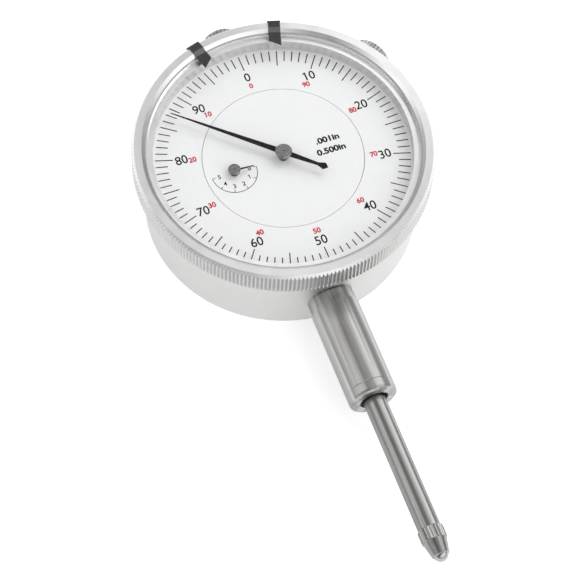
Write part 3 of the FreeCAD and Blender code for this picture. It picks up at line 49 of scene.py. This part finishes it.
class Surface:
    """A Principled material and the few node groups that the finishes below share."""

    def __init__(self, name, colour, roughness, metallic=0.0):
        self.material = bpy.data.materials.new(name)
        self.material.use_nodes = True
        self.tree = self.material.node_tree
        self.shader = self.tree.nodes["Principled BSDF"]
        self.colour = colour
        self.roughness = roughness
        self.shader.inputs["Base Color"].default_value = (*colour, 1)
        self.shader.inputs["Roughness"].default_value = roughness
        self.shader.inputs["Metallic"].default_value = metallic
        self.place = self.tree.nodes.new("ShaderNodeTexCoord").outputs["Object"]

    def link(self, start, end):
        self.tree.links.new(start, end)

    def math(self, operation, first, second=0.0):
        node = self.tree.nodes.new("ShaderNodeMath")
        node.operation = operation
        for socket, value in zip(node.inputs, (first, second)):
            if isinstance(value, (int, float)):
                socket.default_value = value
            else:
                self.link(value, socket)
        return node.outputs[0]

    def stretched(self, x, y, z):
        """The place on the piece, in grains: cycles per metre along each axis."""
        node = self.tree.nodes.new("ShaderNodeMapping")
        node.inputs["Scale"].default_value = (x, y, z)
        self.link(self.place, node.inputs["Vector"])
        return node.outputs[0]

    def ringed(self, across, around, centre=(0.0, 0.0)):
        """The place as radius, height and angle about the dial axis: a lathe's marks."""
        split = self.tree.nodes.new("ShaderNodeSeparateXYZ")
        self.link(self.place, split.inputs[0])
        x = self.math("SUBTRACT", split.outputs[0], centre[0])
        y = self.math("SUBTRACT", split.outputs[1], centre[1])
        square = self.math("ADD", self.math("MULTIPLY", x, x), self.math("MULTIPLY", y, y))
        join = self.tree.nodes.new("ShaderNodeCombineXYZ")
        self.link(self.math("MULTIPLY", self.math("SQRT", square), across), join.inputs[0])
        self.link(self.math("MULTIPLY", split.outputs[2], across), join.inputs[1])
        self.link(self.math("MULTIPLY", self.math("ARCTAN2", y, x), around), join.inputs[2])
        return join.outputs[0]

    def noise(self, vector, detail=3.0, scale=1.0):
        node = self.tree.nodes.new("ShaderNodeTexNoise")
        node.inputs["Scale"].default_value = scale
        node.inputs["Detail"].default_value = detail
        self.link(vector, node.inputs["Vector"])
        return node.outputs["Fac"]

    def between(self, factor, low, high, start=0.3, end=0.7):
        """Maps a noise to a range of one number."""
        node = self.tree.nodes.new("ShaderNodeMapRange")
        for name, value in (("From Min", start), ("From Max", end), ("To Min", low),
                            ("To Max", high)):
            node.inputs[name].default_value = value
        self.link(factor, node.inputs["Value"])
        return node.outputs[0]

    def height(self):
        """The height of a point on the piece above the back of the case."""
        split = self.tree.nodes.new("ShaderNodeSeparateXYZ")
        self.link(self.place, split.inputs[0])
        return split.outputs[2]

    def radius(self):
        """The distance of a point on the piece from the dial axis."""
        split = self.tree.nodes.new("ShaderNodeSeparateXYZ")
        self.link(self.place, split.inputs[0])
        squares = [self.math("MULTIPLY", split.outputs[axis], split.outputs[axis])
                   for axis in (0, 1)]
        return self.math("SQRT", self.math("ADD", *squares))

    def shade(self, factor, dark, light, start=0.3, end=0.7):
        """Varies the base colour between two strengths of it."""
        ramp = self.tree.nodes.new("ShaderNodeValToRGB")
        ramp.color_ramp.elements[0].position = start
        ramp.color_ramp.elements[1].position = end
        for element, strength in zip(ramp.color_ramp.elements, (dark, light)):
            element.color = (*[channel * strength for channel in self.colour], 1)
        self.link(factor, ramp.inputs["Fac"])
        self.link(ramp.outputs["Color"], self.shader.inputs["Base Color"])

    def roughen(self, factor, low, high):
        self.link(self.between(factor, low, high), self.shader.inputs["Roughness"])

    def bump(self, height, depth, strength=1.0):
        node = self.tree.nodes.new("ShaderNodeBump")
        node.inputs["Distance"].default_value = depth
        node.inputs["Strength"].default_value = strength
        self.link(height, node.inputs["Height"])
        self.link(node.outputs["Normal"], self.shader.inputs["Normal"])

    def brushed(self, axis, amount):
        """Stretches highlights across the brushing, which runs round the given axis."""
        tangent = self.tree.nodes.new("ShaderNodeTangent")
        tangent.direction_type = "RADIAL"
        tangent.axis = axis
        self.link(tangent.outputs[0], self.shader.inputs["Tangent"])
        self.shader.inputs["Anisotropic"].default_value = amount


def dress(material, *names):
    """Gives a material to CAD nodes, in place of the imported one."""
    for name in names:
        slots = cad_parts[name].data.materials
        slots.clear()
        slots.append(material)


# ---------------------------------------------------------------- metals

def turned_steel(name, colour, roughness, variation=0.06, anisotropy=0.5, edge=0.0, side=1.0):
    """Satin plated steel with the fine rings that a lathe leaves round the dial axis.

    Below the height of the edge, the outer side is painted darker, to a part of its brightness: a
    painted shade for the grooves of the knurl.
    """
    metal = Surface(name, colour, roughness, 1.0)
    rings = metal.noise(metal.ringed(9000, 1.2), 4)
    smudges = metal.noise(metal.stretched(260, 260, 260), 5)
    both = metal.math("ADD", metal.math("MULTIPLY", rings, 0.45),
                      metal.math("MULTIPLY", smudges, 0.55))
    # painted shade: below the edge height and outside 27.9 mm the base colour is darkened to the
    # side factor, for the knurl's grooves
    above = metal.between(metal.height(), side, 1.0, edge - 0.05 * MM, edge + 0.05 * MM)
    inside = metal.between(metal.radius(), 1.0, 0.0, 27.9 * MM, 28.1 * MM)
    tone = metal.math("MULTIPLY", metal.between(both, 1 - variation, 1 + variation * 0.5),
                      metal.math("MAXIMUM", above, inside))
    metal.shade(tone, 0.0, 1.0, 0.0, 1.0)
    metal.roughen(both, roughness * 0.85, roughness * 1.2)
    metal.bump(rings, 0.004 * MM, 0.5)
    metal.brushed("Z", anisotropy)
    return metal.material


def ground_steel(name, colour, roughness, contrast=0.3):
    """Ground steel bar with streaks along its length, which lies along Y."""
    metal = Surface(name, colour, roughness, 1.0)
    wide = metal.noise(metal.stretched(700, 9, 700), 3)
    fine = metal.noise(metal.stretched(3600, 30, 3600), 3)
    both = metal.math("ADD", metal.math("MULTIPLY", wide, 0.6), metal.math("MULTIPLY", fine, 0.4))
    metal.shade(both, 1 - contrast, 1 + contrast * 0.6, 0.38, 0.62)
    metal.roughen(both, roughness * 1.3, roughness * 0.8)
    metal.bump(fine, 0.004 * MM, 0.6)
    return metal.material


def plain_metal(name, colour, roughness, grain=2500):
    """Machined metal with a fine even grain."""
    metal = Surface(name, colour, roughness, 1.0)
    specks = metal.noise(metal.stretched(grain, grain, grain), 4)
    metal.shade(specks, 0.9, 1.05)
    metal.roughen(specks, roughness * 0.8, roughness * 1.25)
    metal.bump(specks, 0.004 * MM, 0.4)
    return metal.material


def gasket(name, lip):
    """A pale nylon ring, painted greyer on its top: a painted shadow for the gap round the crystal.
    """
    ring = Surface(name, (0.86, 0.86, 0.85), 0.5)
    bloom = ring.noise(ring.stretched(1500, 1500, 1500), 3)
    # painted shadow: above the lip height the ring's colour is taken down to 0.62 of its strength
    pale = ring.between(ring.height(), 1.0, 0.62, lip - 0.02 * MM, lip + 0.02 * MM)
    ring.shade(ring.math("MULTIPLY", pale, ring.between(bloom, 0.9, 1.0)), 0.0, 1.0, 0.0, 1.0)
    ring.bump(bloom, 0.01 * MM)
    return ring.material


def paint(name, colour, roughness, grain, variation=0.02, gloss=0.5):
    """Sprayed or printed paint with slight orange peel."""
    coat = Surface(name, colour, roughness)
    coat.shader.inputs["Specular IOR Level"].default_value = gloss
    peel = coat.noise(coat.stretched(grain, grain, grain), 3)
    coat.shade(peel, 1 - variation, 1 + variation * 0.5)
    coat.roughen(peel, roughness * 0.9, roughness * 1.1)
    coat.bump(peel, 0.004 * MM, 0.4)
    return coat.material


def folded_paint(name, colour, inner, outer, painted_highlight_gain):
    """Black paint, painted lighter where the sheet steps down between two radii: a painted highlight
    for the facet that faces the light.
    """
    coat = Surface(name, colour, 0.3)
    peel = coat.noise(coat.stretched(2500, 2500, 2500), 3)
    # painted highlight: the band between the inner and outer radii is painted lighter than the rest
    # of the black
    rise = coat.between(coat.radius(), 0.0, 1.0, inner - 0.08 * MM, inner + 0.08 * MM)
    fall = coat.between(coat.radius(), 1.0, 0.0, outer - 0.08 * MM, outer + 0.08 * MM)
    tone = coat.between(coat.math("MULTIPLY", rise, fall), 1.0 / painted_highlight_gain, 1.0, 0.0, 1.0)
    coat.colour = [channel * painted_highlight_gain for channel in colour]
    coat.shade(coat.math("MULTIPLY", tone, coat.between(peel, 0.8, 1.0)), 0.0, 1.0, 0.0, 1.0)
    coat.roughen(peel, 0.26, 0.36)
    coat.bump(peel, 0.004 * MM, 0.4)
    return coat.material


def clear_sheet(name):
    """The crystal: clear, smooth sheet that lets the lamps through to the dial."""
    sheet = Surface(name, (1.0, 1.0, 1.0), 0.015)
    sheet.shader.inputs["Transmission Weight"].default_value = 1.0
    sheet.shader.inputs["IOR"].default_value = 1.08
    polish = sheet.noise(sheet.stretched(120, 120, 120), 2)
    sheet.roughen(polish, 0.0, 0.02)
    return sheet.material


CASE_GREY = (0.63, 0.63, 0.625)
BEZEL_GREY = (0.80, 0.80, 0.795)
STEM_GREY = (0.44, 0.435, 0.43)
KNOB_GREY = (0.42, 0.42, 0.415)
BRASS = (0.78, 0.60, 0.28)

dress(turned_steel("satin_case", CASE_GREY, 0.42, 0.05, 0.4), "case", "back_cover")
# the bezel's knurled side is painted at 0.70 of its brightness: painted shade in its grooves
dress(turned_steel("satin_bezel_painted_knurl_shade", BEZEL_GREY, 0.32, 0.07, 0.6, 20.5 * MM, 0.70), "bezel")
dress(ground_steel("ground_stem", STEM_GREY, 0.34, 0.42), "stem", "stem_bushing")
dress(ground_steel("ground_spindle", (0.29, 0.29, 0.285), 0.32, 0.45), "spindle", "upper_bushing")
dress(ground_steel("turned_contact", (0.33, 0.33, 0.325), 0.26, 0.15), "contact_point")
dress(plain_metal("polished_ball", (0.42, 0.42, 0.42), 0.10, 1500), "contact_ball")
dress(plain_metal("satin_knob", KNOB_GREY, 0.36, 1200), "dust_cap", "clamp_screw")
dress(plain_metal("screw_steel", (0.55, 0.55, 0.55), 0.3), "back_cover_screws",
      "rear_plate_screws", "front_plate_screws", "bridge_screw", "spindle_guide_screws",
      "cross_pin", "spring_post", "hairspring_stud")
dress(plain_metal("brushed_brass", BRASS, 0.4, 1800), "rear_plate", "front_plate",
      "arbor_bridge", "spindle_guide", "plate_pillar_1", "plate_pillar_2", "plate_pillar_3",
      "clamp_shoe")
dress(plain_metal("gear_brass", (0.82, 0.64, 0.30), 0.28, 3000), "rack_gear",
      "counter_drive_gear", "takeup_gear", "counter_gear", "hairspring_collet",
      *[f"{arbor}_{end}_bush" for arbor in ("rack", "centre", "counter", "takeup")
        for end in ("lower", "upper")])
dress(plain_metal("burnished_steel", (0.3, 0.3, 0.3), 0.25, 5000), "rack_arbor", "rack_pinion",
      "centre_arbor", "centre_pinion", "counter_arbor", "takeup_arbor")
dress(plain_metal("spring_steel", (0.45, 0.45, 0.47), 0.25), "return_spring",
      "bezel_retaining_wire")
dress(plain_metal("spring_bronze", (0.72, 0.48, 0.26), 0.3), "hairspring")
# the gasket's top is painted grey as a painted shadow of the gap round the crystal
dress(gasket("gasket_painted_top_shadow", 20.42 * MM), "crystal_gasket")
dress(paint("dial_white", (0.71, 0.715, 0.715), 0.32, 1600), "inner_dial", "outer_dial")
dress(paint("hand_black", (0.010, 0.010, 0.010), 0.45, 2500, 0.2, 0.12), "main_hand", "counter_hand")
dress(plain_metal("hub_steel", (0.25, 0.25, 0.25), 0.26, 6000), "main_hand_hub", "counter_hand_hub")
# the markers' stepped band is painted 5.5 times lighter: a painted highlight
dress(folded_paint("marker_black_painted_highlight", (0.028, 0.028, 0.029), 26.45 * MM, 27.4 * MM, 5.5),
      "limit_marker_left", "limit_marker_right")
dress(clear_sheet("clear_crystal"), "crystal")
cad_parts["crystal"].visible_shadow = False

ink_black = paint("ink_black", (0.015, 0.015, 0.017), 0.5, 4000, 0.15, 0.1)
ink_red = paint("ink_red", (0.50, 0.018, 0.035), 0.5, 4000, 0.1, 0.1)


# ---------------------------------------------------------------- printed scales

INK_HEIGHT = 0.012 * MM
DIAL_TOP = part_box("outer_dial")[1].z
DIAL_TURN = math.radians(0.88)
TICK_END = 24.76 * MM
TICK_STARTS = {1: 22.4 * MM, 5: 21.35 * MM, 10: 21.35 * MM}
TICK_WIDTH = 0.21 * MM
COUNTER = (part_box("counter_arbor")[0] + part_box("counter_arbor")[1]) / 2


class Print:
    """Flat inked shapes that end up as one thin mesh on a dial."""

    def __init__(self):
        self.points = []
        self.faces = []

    def area(self, outline):
        """A closed shape given as points of the dial plane, as a thin prism."""
        first = len(self.points)
        count = len(outline)
        for level in (DIAL_TOP - INK_HEIGHT / 2, DIAL_TOP + INK_HEIGHT):
            self.points += [(x, y, level) for x, y in outline]
        self.faces.append([first + count + number for number in range(count)])
        self.faces.append([first + count - 1 - number for number in range(count)])
        for number in range(count):
            after = (number + 1) % count
            self.faces.append([first + number, first + after, first + count + after,
                               first + count + number])

    def stroke(self, start, end, width):
        along = Vector(end) - Vector(start)
        side = Vector((-along.y, along.x)).normalized() * width / 2
        corners = [Vector(start) - side, Vector(end) - side, Vector(end) + side,
                   Vector(start) + side]
        self.area([tuple(corner) for corner in corners])

    def arc(self, centre, radius, width, start, end, steps):
        """A band along an arc, in short closed segments."""
        for step in range(steps):
            ends = [math.radians(start + (end - start) * (step + side) / steps)
                    for side in (0, 1)]
            ring = [(radius + half, angle) for half, angle in (
                (-width / 2, ends[0]), (width / 2, ends[0]), (width / 2, ends[1]),
                (-width / 2, ends[1]))]
            outline = [(centre[0] + reach * math.cos(angle), centre[1] + reach * math.sin(angle))
                       for reach, angle in ring]
            self.area(outline if end > start else outline[::-1])

    def words(self, text, centre, height, width_scale=1.0, weight=0.0):
        """A line of text centred on a point of the dial plane; a 1 in front gets a flag."""
        curve = bpy.data.curves.new("words", "FONT")
        curve.body = text
        curve.align_x = "CENTER"
        curve.size = 1.0
        curve.offset = weight
        curve.extrude = INK_HEIGHT * 0.75
        curve.resolution_u = 6
        letters = bpy.data.objects.new("words", curve)
        bpy.context.collection.objects.link(letters)
        bpy.context.view_layer.update()
        mesh = bpy.data.meshes.new_from_object(
            letters.evaluated_get(bpy.context.evaluated_depsgraph_get()))
        highest = max(vertex.co.y for vertex in mesh.vertices)
        lowest = min(vertex.co.y for vertex in mesh.vertices)
        size = height / (highest - lowest)
        middle = (highest + lowest) / 2
        first = len(self.points)

        def place(x, y):
            x, y = x * size * width_scale, (y - middle) * size
            return (centre[0] + x, centre[1] + y)

        for vertex in mesh.vertices:
            self.points.append((*place(vertex.co.x, vertex.co.y),
                                DIAL_TOP + INK_HEIGHT / 4 + vertex.co.z))
        for face in mesh.polygons:
            self.faces.append([first + number for number in face.vertices])
        if text[0] == "1":
            left = min(vertex.co.x for vertex in mesh.vertices)
            tall = highest - lowest
            self.stroke(place(left + 0.06 * tall, highest - 0.05 * tall),
                        place(left - 0.20 * tall, highest - 0.24 * tall), 0.11 * height)
        bpy.data.objects.remove(letters)
        bpy.data.meshes.remove(mesh)
        bpy.data.curves.remove(curve)

    def finish(self, name, ink, body):
        mesh = bpy.data.meshes.new(name)
        mesh.from_pydata(self.points, [], self.faces)
        mesh.validate()
        mesh.materials.append(ink)
        piece = bpy.data.objects.new(name, mesh)
        bpy.context.collection.objects.link(piece)
        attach(piece, body)
        return piece


def on_dial(reading, radius):
    """The point of the scale at a reading of 0 to 100, clockwise from the top."""
    angle = math.pi / 2 + DIAL_TURN - reading / 100 * 2 * math.pi
    return (radius * math.cos(angle), radius * math.sin(angle))


NUMBER_RADIUS = 19.7 * MM
NUMBER_HEIGHT = 1.95 * MM
REVERSE_RADIUS = 17.55 * MM
REVERSE_HEIGHT = 1.2 * MM

marks = Print()
for reading in range(100):
    kind = 10 if reading % 10 == 0 else 5 if reading % 5 == 0 else 1
    marks.stroke(on_dial(reading, TICK_STARTS[kind]), on_dial(reading, TICK_END), TICK_WIDTH)
for reading in range(0, 100, 10):
    marks.words(str(reading), on_dial(reading, NUMBER_RADIUS), NUMBER_HEIGHT, 0.94, 0.012)
marks.finish("dial_scale", ink_black, "bezel")

reverse = Print()
for reading in range(0, 100, 10):
    label = str((100 - reading) % 100)
    reverse.words(label, on_dial(reading, REVERSE_RADIUS), REVERSE_HEIGHT, 0.97, 0.035)
reverse.finish("reverse_scale", ink_red, "bezel")

COUNTER_RADIUS = 4.45 * MM
COUNTER_TICK = 0.6 * MM
COUNTER_NUMBER_RADIUS = 3.05 * MM
COUNTER_LINE = 0.13 * MM
counter = Print()
counter.arc(COUNTER, COUNTER_RADIUS, COUNTER_LINE, -180, 0, 40)
for turn in range(6):
    angle = math.radians(-36 * turn)
    tip = Vector((math.cos(angle), math.sin(angle)))
    middle = Vector(COUNTER[:2])
    counter.stroke(middle + tip * (COUNTER_RADIUS - COUNTER_TICK), middle + tip * COUNTER_RADIUS,
                   COUNTER_LINE)
    counter.words(str(turn), middle + tip * COUNTER_NUMBER_RADIUS, 0.95 * MM, 0.95, 0.02)
counter.words(".001in", (9.5 * MM, 1.1 * MM), 1.4 * MM, 1.12, 0.042)
counter.words("0.500in", (9.4 * MM, -1.45 * MM), 1.4 * MM, 1.12, 0.042)
counter.finish("inner_dial_print", ink_black, "case")


# ---------------------------------------------------------------- floor, lights and camera

def make_floor():
    """A pale seamless floor that gives off a little light, so that shadows stay soft."""
    bpy.ops.mesh.primitive_plane_add(size=4)
    floor = bpy.context.object
    floor.name = "floor"
    sheet = Surface("pale_floor", (0.93, 0.93, 0.93), 0.6)
    speckle = sheet.noise(sheet.stretched(90, 90, 90), 2)
    sheet.shade(speckle, 0.995, 1.0)
    sheet.shader.inputs["Emission Color"].default_value = (1, 1, 1, 1)
    sheet.shader.inputs["Emission Strength"].default_value = 0.5
    floor.data.materials.append(sheet.material)


def softbox(name, azimuth, elevation, distance, width, height, radiance, aim=(0, -0.02, 0.01)):
    """A soft lamp seen from the object at an azimuth, clockwise from +Y, and an elevation."""
    lamp = bpy.data.lights.new(name, "AREA")
    lamp.shape = "RECTANGLE"
    lamp.size = width
    lamp.size_y = height
    lamp.energy = radiance * math.pi * width * height
    across, up = math.radians(azimuth), math.radians(elevation)
    out = Vector((math.sin(across) * math.cos(up), math.cos(across) * math.cos(up), math.sin(up)))
    box = bpy.data.objects.new(name, lamp)
    box.location = Vector(aim) + out * distance
    box.rotation_mode = "QUATERNION"
    box.rotation_quaternion = (-out).to_track_quat("-Z", "Y")
    bpy.context.collection.objects.link(box)


def make_world(strength, bands):
    """Studio walls in light and dark bands from left to right; each band is a lean and a tone."""
    world = bpy.data.worlds.new("studio")
    world.use_nodes = True
    tree = world.node_tree
    split = tree.nodes.new("ShaderNodeSeparateXYZ")
    tree.links.new(tree.nodes.new("ShaderNodeTexCoord").outputs["Generated"], split.inputs[0])
    lean = tree.nodes.new("ShaderNodeMath")
    lean.operation = "ARCTAN2"
    tree.links.new(split.outputs[0], lean.inputs[0])
    tree.links.new(split.outputs[2], lean.inputs[1])
    spread = tree.nodes.new("ShaderNodeMapRange")
    spread.inputs["From Min"].default_value = -math.pi / 2
    spread.inputs["From Max"].default_value = math.pi / 2
    tree.links.new(lean.outputs[0], spread.inputs["Value"])
    ramp = tree.nodes.new("ShaderNodeValToRGB")
    elements = ramp.color_ramp.elements
    for _ in range(len(bands) - 2):
        elements.new(0.5)
    for element, (degrees, tone) in zip(elements, bands):
        element.position = (degrees + 90) / 180
        element.color = (tone, tone, tone, 1)
    tree.links.new(spread.outputs[0], ramp.inputs["Fac"])
    background = tree.nodes["Background"]
    tree.links.new(ramp.outputs["Color"], background.inputs["Color"])
    background.inputs["Strength"].default_value = strength
    bpy.context.scene.world = world


def make_camera():
    """Looks down over the stem end from the left, rolled a little, as a product shot does."""
    azimuth, tilt, roll = 23.82, 28.63, 3.85
    camera = bpy.data.cameras.new("camera")
    camera.sensor_width = 36
    camera.lens = 132.3
    camera.clip_start = 0.01
    camera.clip_end = 10
    stand = bpy.data.objects.new("camera", camera)
    turn = (Matrix.Rotation(math.radians(-azimuth), 4, "Z")
            @ Matrix.Rotation(math.radians(tilt), 4, "X")
            @ Matrix.Rotation(math.radians(roll), 4, "Z"))
    stand.matrix_world = Matrix.Translation(Vector((-86.1, -202.5, 366.5)) * MM) @ turn
    bpy.context.collection.objects.link(stand)
    bpy.context.scene.camera = stand


make_floor()
make_world(0.66, [(-88, 0.5), (-62, 0.85), (-42, 0.25), (-14, 0.2), (0, 0.8), (18, 0.85),
                  (36, 1.0), (60, 1.0), (74, 0.3), (88, 0.25)])
softbox("left_softbox", -75, 40, 0.8, 0.5, 0.7, 1.1)
softbox("right_softbox", 70, 45, 0.8, 0.5, 0.7, 1.5)
softbox("front_softbox", 156, 33, 0.8, 1.6, 0.7, 0.95)
softbox("back_softbox", 0, 35, 0.8, 0.8, 0.4, 1.0)
make_camera()
view = bpy.context.scene.view_settings
view.view_transform = "Standard"
view.look = "None"
